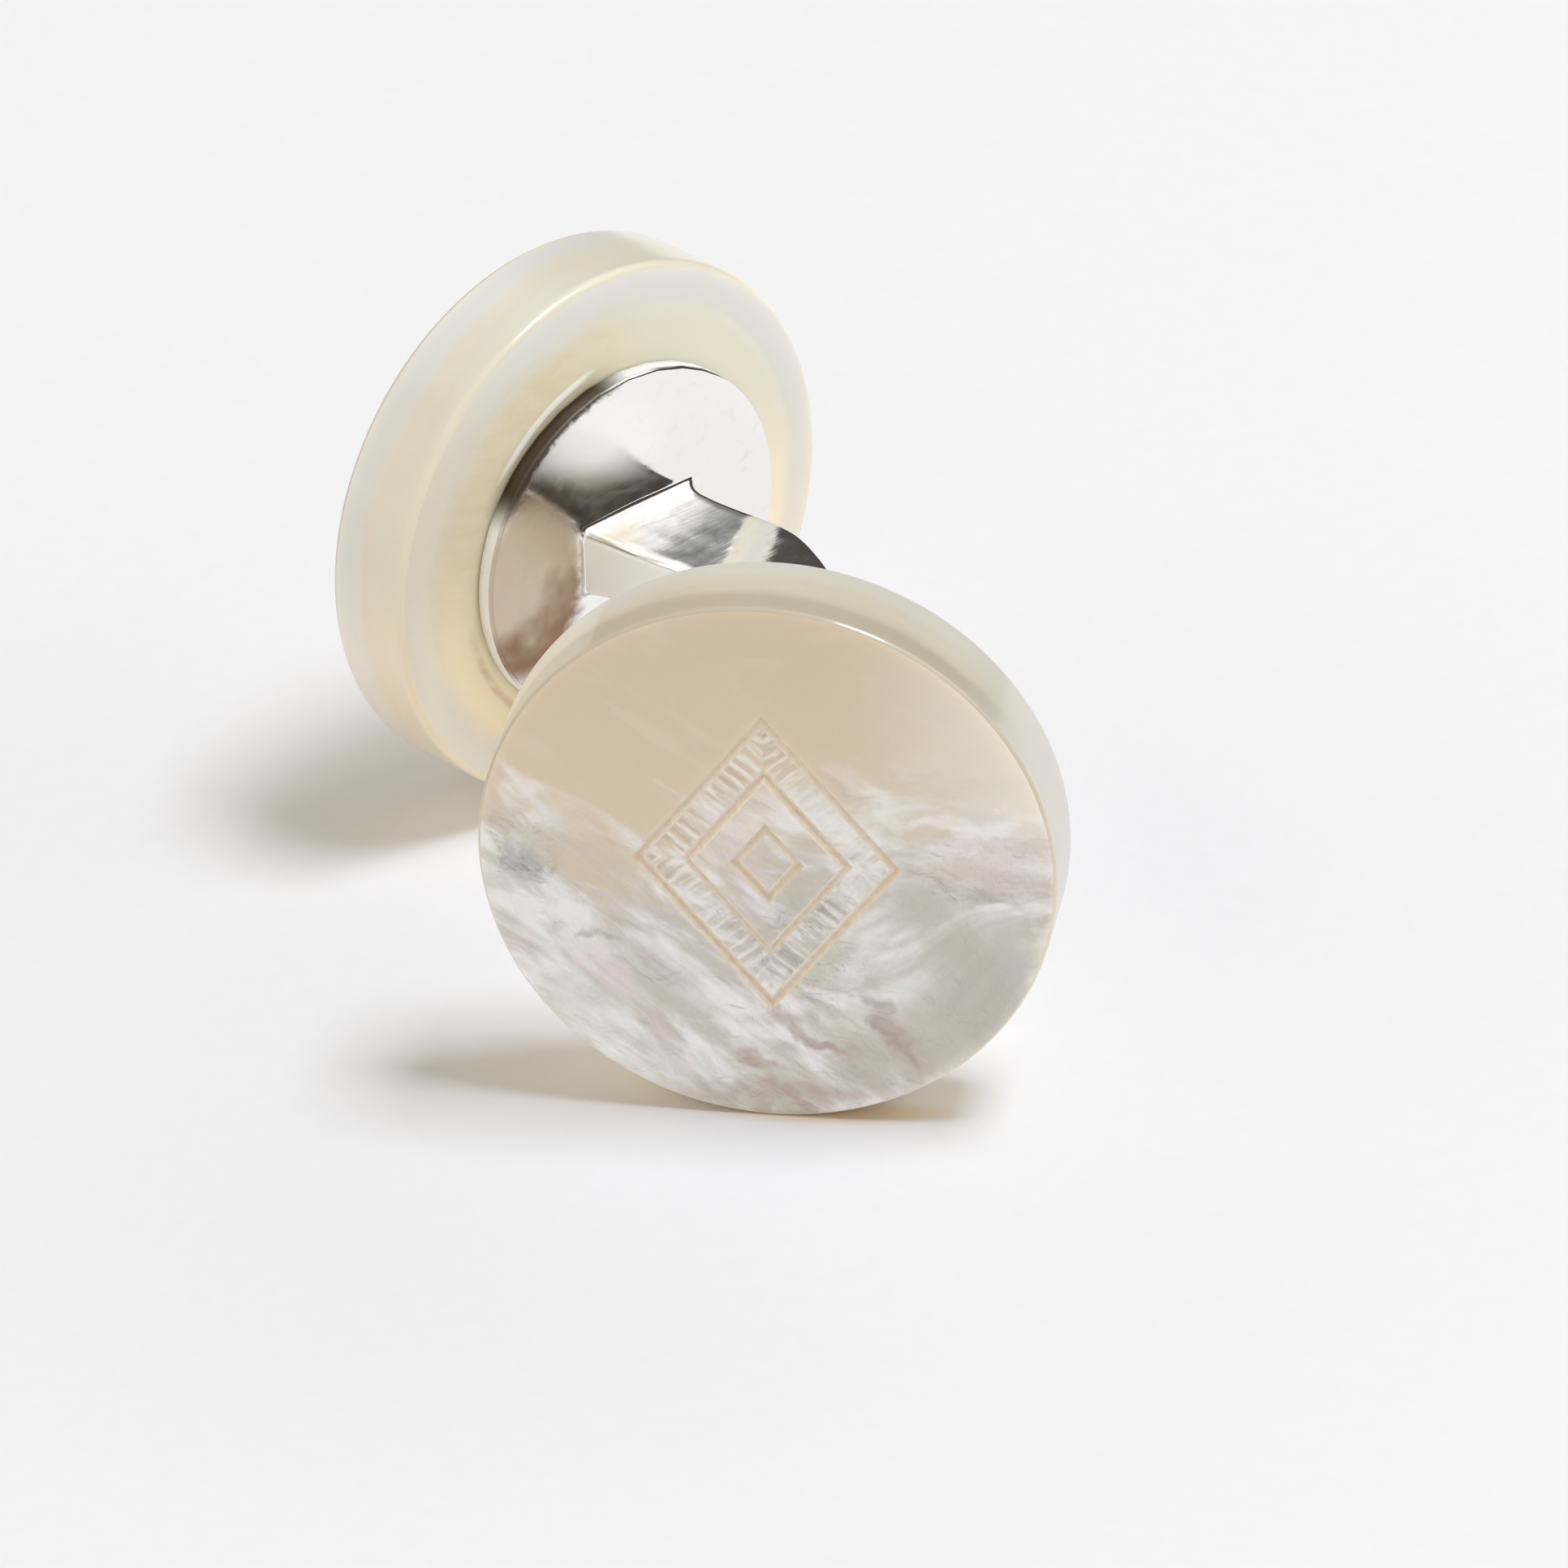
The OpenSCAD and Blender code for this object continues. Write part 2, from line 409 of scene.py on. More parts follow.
# Warm part of a face: its middle, top and right, and the wisps on it
WARM_MIDDLE = (0.695, 0.585, 0.45)
WARM_TOP = (0.66, 0.555, 0.42)
WARM_RIGHT = (0.80, 0.765, 0.69)
WARM_WISP = (0.83, 0.775, 0.69)
# Silvery part of a face
PALE_DULL = (0.60, 0.565, 0.52)
PALE_BRIGHT = (0.85, 0.845, 0.825)
PALE_SHADE = (0.49, 0.445, 0.40)
PALE_PINK = (0.78, 0.67, 0.67)
PALE_GREEN = (0.60, 0.63, 0.545)
# Engraving
# Colour of the stroke's paler floor and its painted glints
STROKE_WHITE = (0.88, 0.86, 0.82)
CUT_DARK = (0.76, 0.655, 0.515)
CUT_LIGHT = (0.84, 0.765, 0.655)
# Layers in each disc's wall: near the back rim, halfway, near the face, and at the right end
FRONT_LAYERS = ((0.93, 0.90, 0.79), (0.93, 0.84, 0.655), (0.745, 0.645, 0.49), (0.82, 0.79, 0.71))
REAR_LAYERS = ((0.90, 0.84, 0.69), (0.91, 0.825, 0.665), (0.89, 0.88, 0.815), (0.90, 0.905, 0.875))
# Painted light for the wall's lower left, and the bevel's colour low down and painted shade at its top
LOW_LEFT_PAINTED_LIGHT = (1.14, 1.07, 0.99)
BEVEL_LOW = (0.68, 0.63, 0.55)
BEVEL_TOP_PAINTED_SHADE = (0.49, 0.435, 0.35)
# Back of a disc: yellower pearl round the plate, a whitish outer ring, painted light low down, a line of glue
# and a painted glint
YELLOW_DARK = (0.64, 0.565, 0.385)
YELLOW_LIGHT = (0.67, 0.60, 0.43)
YELLOW_RIGHT = (0.67, 0.635, 0.51)
YELLOW_LOW_PAINTED_LIGHT = (0.92, 0.79, 0.535)
WHITE_LEFT = (0.66, 0.61, 0.51)
WHITE_RIGHT = (0.68, 0.675, 0.64)
WHITE_LOW_PAINTED_LIGHT = (0.76, 0.705, 0.60)
GLUE = (0.58, 0.39, 0.22)
SEAT_PAINTED_GLINT = (0.95, 0.94, 0.90)
# Silver, and the reflections and shade painted on its rear plate
SILVER = (0.965, 0.955, 0.935)
SILVER_SPOTS = (0.62, 0.56, 0.47)
SATIN = (1.0, 0.985, 0.95)
STREAK_REFLECTION = (0.66, 0.53, 0.36)
PALE_REFLECTION = (0.90, 0.885, 0.855)
DEEP_REFLECTION = (0.19, 0.145, 0.09)
OVAL_REFLECTION_LIGHT = (0.60, 0.49, 0.36)
OVAL_REFLECTION_BROWN = (0.22, 0.10, 0.025)
EDGE_SHADE = (0.09, 0.07, 0.05)
# Paper, and the warm shadow painted on it
PAPER_DARK = (0.888, 0.878, 0.886)
PAPER_LIGHT = (0.898, 0.888, 0.896)
PAINTED_WARM_SHADOW = (0.84, 0.70, 0.55)

# Soft patches: centre, half length and half width, turn in degrees, and hardness
# The first four are painted reflections on the rear plate
STREAK_REFLECTION_PATCH = ((-1.9, 2.35), (2.9, 0.85), -17, 0.3)
PALE_REFLECTION_PATCH = ((-1.2, 3.5), (2.8, 1.4), -23, 0.2)
DEEP_REFLECTION_PATCH = ((-3.1, 2.2), (2.1, 0.95), -36, 0.35)
OVAL_REFLECTION_PATCH = ((-3.8, -0.1), (2.0, 2.6), 0, 0.8)
# A painted warm shadow on the paper
PAINTED_WARM_SHADOW_PATCH = ((0.8, -10.65), (3.3, 0.62), -21, 0.4)
MARK_HARDNESS = 0.3
DENT_HARDNESS = 0.6

# Weight of the pearl's gloss, and what is left of it on the matt bevel
GLOSS = 0.6
MATT_GLOSS = 0.05
# Roughness of that gloss: on the front disc, and on the rear disc's wall and back
FINE_POLISH = 0.06
SOFT_POLISH = 0.17
# Distance from the face over which the wall has the bevel's finish, and then loses it
BEVEL_REACH = 0.1
BEVEL_FADE = 0.025
# Distances inside the frame's edges at which the whitened floor starts and is full
STROKE_START = 0.1
STROKE_FULL = 0.25


# Nodes of the materials

def node(tree, kind, inputs=None, **settings):
    """Adds a node. inputs gives a value or a socket for each named or numbered input."""
    made = tree.nodes.new(kind)
    for key, value in settings.items():
        setattr(made, key, value)
    for key, value in (inputs or {}).items():
        if isinstance(value, bpy.types.NodeSocket):
            tree.links.new(value, made.inputs[key])
        else:
            made.inputs[key].default_value = value
    return made


def maths(tree, operation, *values):
    """The result of one operation on numbers or sockets."""
    return node(tree, "ShaderNodeMath", dict(enumerate(values)), operation=operation).outputs[0]


def product(tree, value, *others):
    """A value times all the others."""
    for other in others:
        value = maths(tree, "MULTIPLY", value, other)
    return value


def weigh(tree, a, share_a, b, share_b):
    """The sum of two values, each times its share."""
    return maths(tree, "MULTIPLY_ADD", a, share_a, maths(tree, "MULTIPLY", b, share_b))


def sway(tree, noise, reach, value):
    """Moves a value to and fro by a noise whose middle is 0.5."""
    return maths(tree, "MULTIPLY_ADD", maths(tree, "SUBTRACT", noise, 0.5), reach, value)


def vector_maths(tree, operation, *values):
    """The result of one operation on vectors: a number for a product or a length, or a vector."""
    made = node(tree, "ShaderNodeVectorMath", dict(enumerate(values)), operation=operation)
    return made.outputs["Value" if operation in ("DOT_PRODUCT", "LENGTH") else "Vector"]


def in_millimetres(tree, metres):
    """A place in metres, turned into millimetres."""
    made = node(tree, "ShaderNodeVectorMath", {0: metres, "Scale": 1 / MM}, operation="SCALE")
    return made.outputs[0]


def fade(tree, value, low, high, to_low=0.0, to_high=1.0):
    """A smooth step from one value to another."""
    made = node(tree, "ShaderNodeMapRange", {0: value, 1: low, 2: high, 3: to_low, 4: to_high},
                interpolation_type="SMOOTHSTEP")
    return made.outputs[0]


def band(tree, value, start, full, fading, end):
    """1 between two values, with a smooth step before the first and after the second."""
    return product(tree, fade(tree, value, start, full), fade(tree, value, end, fading))


def blend(tree, factor, a, b, mode="MIX"):
    """Mixes two colours. Each is a socket, or red, green and blue."""
    a, b = [c if isinstance(c, bpy.types.NodeSocket) else (*c, 1) for c in (a, b)]
    made = node(tree, "ShaderNodeMix", {0: factor, 6: a, 7: b}, data_type="RGBA", blend_type=mode)
    return made.outputs[2]


def join(tree, x, y, z):
    """A vector from its three parts."""
    return node(tree, "ShaderNodeCombineXYZ", {0: x, 1: y, 2: z}).outputs[0]


def clouds(tree, place, scale, detail=4.0, rough=0.55, warp=0.0):
    """Soft noise from 0 to 1, whose middle is 0.5."""
    made = node(tree, "ShaderNodeTexNoise",
                {"Vector": place, "Scale": scale, "Detail": detail, "Roughness": rough, "Distortion": warp})
    return made.outputs[0]


def bumps(tree, height, strength, distance, **others):
    """The surface's direction with a low relief, whose distance is in millimetres."""
    made = node(tree, "ShaderNodeBump",
                {"Height": height, "Strength": strength, "Distance": distance * MM, **others})
    return made.outputs[0]


# Node groups that the materials share

def new_group(name, inputs, outputs):
    """A node group with its named sockets, and the tree's input and output nodes."""
    group = bpy.data.node_groups.new(name, "ShaderNodeTree")
    kinds = {"v": "NodeSocketVector", "f": "NodeSocketFloat"}
    for label, kind, value in inputs:
        socket = group.interface.new_socket(name=label, in_out="INPUT", socket_type=kinds[kind])
        socket.default_value = value
    for label, kind in outputs:
        group.interface.new_socket(name=label, in_out="OUTPUT", socket_type=kinds[kind])
    return group, group.nodes.new("NodeGroupInput"), group.nodes.new("NodeGroupOutput")


def hand_out(group, end, **made):
    """Joins sockets to the group's outputs of the same names."""
    for label, socket in made.items():
        group.links.new(socket, end.inputs[label])
    return group


def use_group(tree, group, inputs):
    """Adds a node that holds a group."""
    return node(tree, "ShaderNodeGroup", inputs, node_tree=group)


def make_place_group():
    """Where a point lies on a disc: across, up and depth in millimetres, and its radius."""
    group, start, end = new_group(
        "place_on_disc",
        [("Centre", "v", (0, 0, 0)), ("Across", "v", (1, 0, 0)), ("Axis", "v", (0, 1, 0))],
        [("Place", "v"), ("Across", "f"), ("Up", "f"), ("Depth", "f"), ("Radius", "f")])
    where = node(group, "ShaderNodeTexCoord").outputs["Object"]
    from_centre = in_millimetres(group, vector_maths(group, "SUBTRACT", where, start.outputs["Centre"]))
    across = vector_maths(group, "DOT_PRODUCT", from_centre, start.outputs["Across"])
    depth = vector_maths(group, "DOT_PRODUCT", from_centre, start.outputs["Axis"])
    up = node(group, "ShaderNodeSeparateXYZ", {0: from_centre}).outputs[2]
    radius = vector_maths(group, "LENGTH", join(group, across, up, 0.0))
    return hand_out(group, end, Place=join(group, across, up, depth), Across=across, Up=up,
                    Depth=depth, Radius=radius)


def make_pearl_group():
    """Wavy pearl lustre: soft clouds, brush-like wisps, fine grain, a slow tint, a warped place."""
    group, start, end = new_group(
        "pearl_lustre",
        [("Place", "v", (0, 0, 0)), ("Turn", "f", 0.0), ("Stretch", "f", 2.5)],
        [("Clouds", "f"), ("Wisps", "f"), ("Fine", "f"), ("Tint", "f"), ("Ripples", "f"),
         ("Bumps", "f"), ("Warped", "v")])
    place = start.outputs["Place"]
    turned = node(group, "ShaderNodeVectorRotate", {"Vector": place, "Angle": start.outputs["Turn"]},
                  rotation_type="Z_AXIS").outputs[0]
    parts = node(group, "ShaderNodeSeparateXYZ", {0: turned}).outputs
    squeezed = maths(group, "DIVIDE", parts[0], start.outputs["Stretch"])
    flow = join(group, squeezed, parts[1], parts[2])
    brushed = vector_maths(group, "MULTIPLY", flow, (0.5, 1.0, 1.0))
    drift = node(group, "ShaderNodeTexNoise", {"Vector": place, "Scale": 0.8, "Detail": 4.0}).outputs[1]
    drift = vector_maths(group, "SUBTRACT", drift, (0.5, 0.5, 0.5))
    return hand_out(
        group, end,
        Clouds=clouds(group, flow, 0.42, 4.0, 0.55, 0.8),
        Wisps=clouds(group, flow, 0.9, 5.0, 0.52, 0.7),
        Fine=clouds(group, brushed, 3.4, 3.0, 0.55, 0.4),
        Tint=clouds(group, place, 0.3, 3.0, 0.5, 0.6),
        Ripples=clouds(group, place, 1.5, 4.0, 0.5, 1.2),
        Bumps=clouds(group, place, 2.6, 2.0, 0.5, 0.6),
        Warped=vector_maths(group, "MULTIPLY_ADD", drift, (2.2, 2.2, 0.0), place))


def make_patch_group():
    """A soft oval patch: its mask is 1 in the middle and 0 a little beyond the oval."""
    group, start, end = new_group(
        "soft_patch",
        [("Place", "v", (0, 0, 0)), ("Centre", "v", (0, 0, 0)), ("Size", "v", (1, 1, 1)),
         ("Turn", "v", (0, 0, 0)), ("Hardness", "f", 0.4)],
        [("Mask", "f")])
    flat = vector_maths(group, "MULTIPLY", start.outputs["Place"], (1, 1, 0))
    local = node(group, "ShaderNodeMapping",
                 {"Vector": flat, "Location": start.outputs["Centre"], "Rotation": start.outputs["Turn"],
                  "Scale": start.outputs["Size"]}, vector_type="TEXTURE").outputs[0]
    reach = vector_maths(group, "LENGTH", local)
    return hand_out(group, end, Mask=fade(group, reach, 1.15, start.outputs["Hardness"]))


def make_layers_group():
    """Growth layers of the shell: soft bands that lie level with the disc's face."""
    group, start, end = new_group(
        "growth_layers", [("Place", "v", (0, 0, 0))], [("Band", "f"), ("Fine", "f")])
    broad = vector_maths(group, "MULTIPLY", start.outputs["Place"], (0.13, 0.13, 0.7))
    thin = vector_maths(group, "MULTIPLY", start.outputs["Place"], (0.12, 0.12, 1.6))
    return hand_out(group, end, Band=clouds(group, broad, 1.0, 3.0, 0.5),
                    Fine=clouds(group, thin, 1.0, 2.0, 0.5))


def soft_patch(tree, groups, place, centre, size, turn, hardness):
    """Mask of a soft oval patch, whose turn is in degrees."""
    made = use_group(tree, groups["patch"],
                     {"Place": place, "Centre": (*centre, 0), "Size": (*size, 1),
                      "Turn": (0, 0, math.radians(turn)), "Hardness": hardness})
    return made.outputs["Mask"]


def disc_place(tree, groups, side):
    """Sockets that say where a point lies on the rear or front disc."""
    centre, across, axis = end_frame(side)
    return use_group(tree, groups["place"],
                     {"Centre": centre * MM, "Across": across, "Axis": axis}).outputs


# Materials

def new_material(name):
    """A new material, its node tree and its main shader."""
    material = bpy.data.materials.new(name)
    material.use_nodes = True
    tree = material.node_tree
    shader = tree.nodes["Principled BSDF"]
    return material, tree, shader


def link_in(tree, shader, **sockets):
    """Joins sockets to the shader's inputs, whose names are written with underscores."""
    for key, socket in sockets.items():
        tree.links.new(socket, shader.inputs[key.replace("_", " ")])


def set_pearl_body(shader, polish=FINE_POLISH):
    """Gloss and glow of the pearl. polish is the roughness of its gloss."""
    shader.inputs["Subsurface Weight"].default_value = 0.6
    shader.inputs["Subsurface Radius"].default_value = (1.0, 0.75, 0.5)
    shader.inputs["Subsurface Scale"].default_value = 0.7 * MM
    shader.inputs["IOR"].default_value = 1.55
    shader.inputs["Coat Weight"].default_value = GLOSS
    shader.inputs["Coat Roughness"].default_value = polish
    shader.inputs["Coat IOR"].default_value = 1.5


def silvery_part(tree, across, up, soft, wisps):
    """1 below the wavy border that runs across a face, and 0 above it."""
    border = maths(tree, "ADD", fade(tree, across, -4.2, 2.4, -0.5, 1.6),
                   fade(tree, across, -4.2, -7.0, 0.0, 2.0))
    below = maths(tree, "SUBTRACT", border, up)
    below = sway(tree, soft, 6.0, below)
    below = sway(tree, wisps, 5.0, below)
    return fade(tree, below, -1.9, 1.6)


def warm_pearl(tree, across, up, wisps):
    """Colour of the warm and smooth part of a face."""
    colour = blend(tree, fade(tree, up, 0.5, 6.5), WARM_MIDDLE, WARM_TOP)
    colour = blend(tree, fade(tree, across, 1.5, 7.5), colour, WARM_RIGHT)
    return blend(tree, fade(tree, wisps, 0.5, 0.68, 0.0, 0.14), colour, WARM_WISP)


def silvery_pearl(tree, bright, soft, tint):
    """Colour of the silvery part of a face, with a touch of pink and green."""
    colour = blend(tree, fade(tree, bright, 0.55, 0.8), PALE_DULL, PALE_BRIGHT)
    colour = blend(tree, fade(tree, soft, 0.48, 0.34, 0.0, 0.55), colour, PALE_SHADE)
    colour = blend(tree, fade(tree, tint, 0.53, 0.66, 0.0, 0.45), colour, PALE_PINK)
    return blend(tree, fade(tree, tint, 0.47, 0.35, 0.0, 0.45), colour, PALE_GREEN)


def add_marks(tree, groups, place, grain, colour, marks):
    """Blends soft patches over a colour, a row each: across, up, half length, half width,
    turn in degrees, colour and strength."""
    broken = fade(tree, grain, 0.38, 0.6, 0.5, 1.0)
    for across, up, length, width, turn, tone, strength in marks:
        mask = soft_patch(tree, groups, place, (across, up), (length, width), turn, MARK_HARDNESS)
        colour = blend(tree, product(tree, mask, broken, strength), colour, tone)
    return colour


def add_stroke(tree, across, up, colour):
    """Whitens the floor of the engraved frame in short streaks: a paler floor, with painted glints across it.
    """
    x, y = maths(tree, "ABSOLUTE", across), maths(tree, "ABSOLUTE", up)
    reach = weigh(tree, x, LOZENGE_H / DIAGONAL, y, LOZENGE_W / DIAGONAL)
    along = weigh(tree, x, -LOZENGE_W / DIAGONAL, y, LOZENGE_H / DIAGONAL)
    floor = band(tree, reach, INNER_REACH + STROKE_START, INNER_REACH + STROKE_FULL,
                 OUTER_REACH - STROKE_FULL, OUTER_REACH - STROKE_START)
    # Painted glints across the stroke
    painted_glints = clouds(tree, join(tree, product(tree, along, 7.0), reach, across), 1.0, 2.0, 0.5)
    whitened = product(tree, floor, fade(tree, painted_glints, 0.42, 0.66, 0.05, 0.75))
    return blend(tree, whitened, colour, STROKE_WHITE)


def make_face_material(name, side, groups, marks, dents):
    """Polished pearl face: warm and smooth above, silvery and rippled below."""
    material, tree, shader = new_material(name)
    set_pearl_body(shader)
    spot = disc_place(tree, groups, side)
    across, up = spot["Across"], spot["Up"]

    # The streaks run level at the upper right and slope down to the right elsewhere
    slope = fade(tree, maths(tree, "ADD", across, up), -3.0, 5.5, 0.66, 0.0)
    lustre = use_group(tree, groups["pearl"], {"Place": spot["Place"], "Turn": slope, "Stretch": 2.2}).outputs
    soft, wisps, fine = lustre["Clouds"], lustre["Wisps"], lustre["Fine"]
    bright = maths(tree, "MULTIPLY_ADD", fine, 0.35, wisps)

    silvery = silvery_part(tree, across, up, soft, wisps)
    warm = warm_pearl(tree, across, up, wisps)
    pale = silvery_pearl(tree, bright, soft, lustre["Tint"])
    colour = blend(tree, silvery, warm, pale)
    if marks:
        colour = add_marks(tree, groups, lustre["Warped"], fine, colour, marks)
        colour = add_stroke(tree, across, up, colour)
    shine = product(tree, silvery, fade(tree, bright, 0.55, 0.8, 0.05, 0.4))

    # Only the silvery part is rippled, and the front face has small dents too
    height = product(tree, silvery, weigh(tree, lustre["Ripples"], 0.9, fine, 0.2))
    for centre, size in dents:
        mask = soft_patch(tree, groups, lustre["Warped"], centre, size, 0, DENT_HARDNESS)
        height = maths(tree, "MULTIPLY_ADD", product(tree, mask, lustre["Bumps"]), 1.3, height)
    rough = fade(tree, silvery, 0.0, 1.0, 0.42, 0.3)
    link_in(tree, shader, Base_Color=colour, Metallic=shine, Roughness=rough,
            Normal=bumps(tree, height, 1.0, 0.16))
    return material


def make_cut_material(groups):
    """Fine cut lines round the engraving, duller and creamier than the polish."""
    material, tree, shader = new_material("pearl_cut_lines")
    set_pearl_body(shader)
    grain = clouds(tree, disc_place(tree, groups, FRONT)["Place"], 5.0, 4.0, 0.6)
    colour = blend(tree, fade(tree, grain, 0.3, 0.7), CUT_DARK, CUT_LIGHT)
    rough = fade(tree, grain, 0.3, 0.7, 0.35, 0.55)
    link_in(tree, shader, Base_Color=colour, Roughness=rough, Normal=bumps(tree, grain, 0.6, 0.04))
    return material


def make_wall_material(name, side, groups, layers, painted_shades, polish):
    """The disc's wall, which shows the shell's growth layers edge on.

    layers gives the colours near the back rim, halfway, near the face and at the
    right end, the next argument the painted shade at the left and at the right,
    and polish the roughness of the gloss.
    """
    material, tree, shader = new_material(name)
    set_pearl_body(shader, polish)
    spot = disc_place(tree, groups, side)
    across, up, depth = spot["Across"], spot["Up"], spot["Depth"]
    grown = use_group(tree, groups["layers"], {"Place": spot["Place"]}).outputs
    fine = grown["Fine"]
    wavy = sway(tree, fine, 0.4, sway(tree, grown["Band"], 2.0, depth))
    colour = blend(tree, fade(tree, wavy, -0.6, -1.4), layers[0], layers[1])
    colour = blend(tree, fade(tree, wavy, -1.2, -1.95), colour, layers[2])
    colour = blend(tree, fade(tree, across, 4.5, 7.3), colour, layers[3])
    streaks = fade(tree, fine, 0.35, 0.65, -0.012, 0.012)
    # Painted shade from left to right along the wall, with faint streaks
    tone = maths(tree, "ADD", fade(tree, across, -4.0, 4.0, *painted_shades), streaks)
    colour = blend(tree, 1.0, colour, join(tree, tone, tone, tone), "MULTIPLY")
    # Painted light: the wall's lower left is painted lighter
    low_left_painted_light = fade(tree, maths(tree, "ADD", across, up), -5.5, -10.0)
    colour = blend(tree, low_left_painted_light, colour, LOW_LEFT_PAINTED_LIGHT, "MULTIPLY")

    # The bevel towards the face is matt, except for a short polished stretch at the upper right
    face = -DISC_T
    bevel = fade(tree, depth, face + BEVEL_REACH + BEVEL_FADE, face + BEVEL_REACH)
    polished = product(tree, bevel, band(tree, across, 1.6, 2.6, 4.2, 5.2), fade(tree, up, 0.0, 1.0))
    matt = maths(tree, "SUBTRACT", bevel, polished)
    # Painted shade: the bevel is painted darker towards its top, which faces the light
    colour = blend(tree, bevel, colour, blend(tree, fade(tree, up, -3.0, 3.0), BEVEL_LOW, BEVEL_TOP_PAINTED_SHADE))
    coat = maths(tree, "MULTIPLY_ADD", matt, MATT_GLOSS - GLOSS, GLOSS)
    rough = maths(tree, "MULTIPLY_ADD", matt, 0.35, fade(tree, fine, 0.3, 0.7, 0.30, 0.35))
    rough = maths(tree, "MULTIPLY_ADD", polished, -0.15, rough)
    link_in(tree, shader, Base_Color=colour, Coat_Weight=coat, Roughness=rough,
            Normal=bumps(tree, grown["Band"], 0.1, 0.02))
    return material


def make_back_material(name, side, groups, polish):
    """The disc's back: a whitish outer ring, and yellower pearl round the base plate."""
    material, tree, shader = new_material(name)
    set_pearl_body(shader, polish)
    spot = disc_place(tree, groups, side)
    radius, across, up = spot["Radius"], spot["Across"], spot["Up"]
    lustre = use_group(tree, groups["pearl"], {"Place": spot["Place"], "Turn": 0.2, "Stretch": 1.5}).outputs
    grain = lustre["Fine"]
    # Painted light: the lower part of the back is painted lighter
    low = fade(tree, up, 2.5, -3.0)
    rightward = maths(tree, "MULTIPLY_ADD", up, 0.5, across)
    yellow = blend(tree, fade(tree, grain, 0.35, 0.65), YELLOW_DARK, YELLOW_LIGHT)
    yellow = blend(tree, fade(tree, rightward, 0.5, 5.0), yellow, YELLOW_RIGHT)
    yellow = blend(tree, low, yellow, YELLOW_LOW_PAINTED_LIGHT)
    white = blend(tree, fade(tree, rightward, -5.5, 1.5), WHITE_LEFT, WHITE_RIGHT)
    white = blend(tree, low, white, WHITE_LOW_PAINTED_LIGHT)
    wobbly = sway(tree, lustre["Clouds"], 0.9, radius)
    colour = blend(tree, fade(tree, wobbly, 5.9, 6.8), yellow, white)

    # A thin brownish line of glue shows round the lower part of the plate
    glue = product(tree, band(tree, radius, 5.22, 5.36, 5.42, 5.56), fade(tree, up, 0.0, -2.5),
                   fade(tree, grain, 0.3, 0.6, 0.2, 0.6))
    colour = blend(tree, glue, colour, GLUE)

    # A painted glint lies beside the plate's upper left edge
    upper_left = fade(tree, weigh(tree, up, 0.87, across, -0.5), 4.75, 5.05)
    gloss = product(tree, band(tree, radius, 5.02, 5.10, 5.22, 5.32), upper_left, 0.9)
    colour = blend(tree, gloss, colour, SEAT_PAINTED_GLINT)
    rough = fade(tree, grain, 0.3, 0.7, 0.3, 0.42)
    link_in(tree, shader, Base_Color=colour, Roughness=rough, Normal=bumps(tree, grain, 0.1, 0.04))
    return material


def add_painted_reflections_and_shade(tree, groups, spot, spots, colour, shares, dark_start):
    """Painted reflections and shade on the rear plate. Gives the colour and masks of the pale and oval
    reflections and the dark line.
    """
    place, across, up = spot["Place"], spot["Across"], spot["Up"]
    on_plate = fade(tree, spot["Depth"], PLATE_TOP + 0.06, PLATE_TOP + 0.015)
    ragged = vector_maths(tree, "ADD", place, join(tree, maths(tree, "SUBTRACT", spots, 0.5), 0.0, 0.0))
    pale_reflection_share, deep_reflection_share, oval_reflection_share = shares

    # Painted reflections: a dark streak, a pale patch above it, and a deeper dark patch at its left end
    streak_reflection_mask = product(tree, soft_patch(tree, groups, ragged, *STREAK_REFLECTION_PATCH), on_plate, 0.75)
    colour = blend(tree, streak_reflection_mask, colour, STREAK_REFLECTION)
    pale_reflection_mask = product(tree, soft_patch(tree, groups, place, *PALE_REFLECTION_PATCH), on_plate, pale_reflection_share)
    colour = blend(tree, pale_reflection_mask, colour, PALE_REFLECTION)
    deep_reflection_mask = product(tree, soft_patch(tree, groups, ragged, *DEEP_REFLECTION_PATCH), on_plate, deep_reflection_share)
    colour = blend(tree, deep_reflection_mask, colour, DEEP_REFLECTION)

    # A painted oval reflection beside the foot of the bar, browner towards its lower right
    lower = sway(tree, clouds(tree, place, 0.9, 2.0, 0.4), 3.0, weigh(tree, across, 0.45, up, -1.0))
    brown = blend(tree, fade(tree, lower, -1.6, 0.2), OVAL_REFLECTION_LIGHT, OVAL_REFLECTION_BROWN)
    oval_reflection_mask = product(tree, soft_patch(tree, groups, ragged, *OVAL_REFLECTION_PATCH), on_plate, oval_reflection_share)
    colour = blend(tree, oval_reflection_mask, colour, brown)

    # Painted shade: a dark line along the plate's upper left edge
    near_edge = fade(tree, sway(tree, spots, 0.5, spot["Radius"]), dark_start, dark_start + 0.2)
    upper_left = fade(tree, weigh(tree, across, -0.5, up, 0.87), 4.0, 4.6)
    dark = product(tree, near_edge, upper_left, on_plate)
    return blend(tree, dark, colour, EDGE_SHADE), pale_reflection_mask, oval_reflection_mask, dark


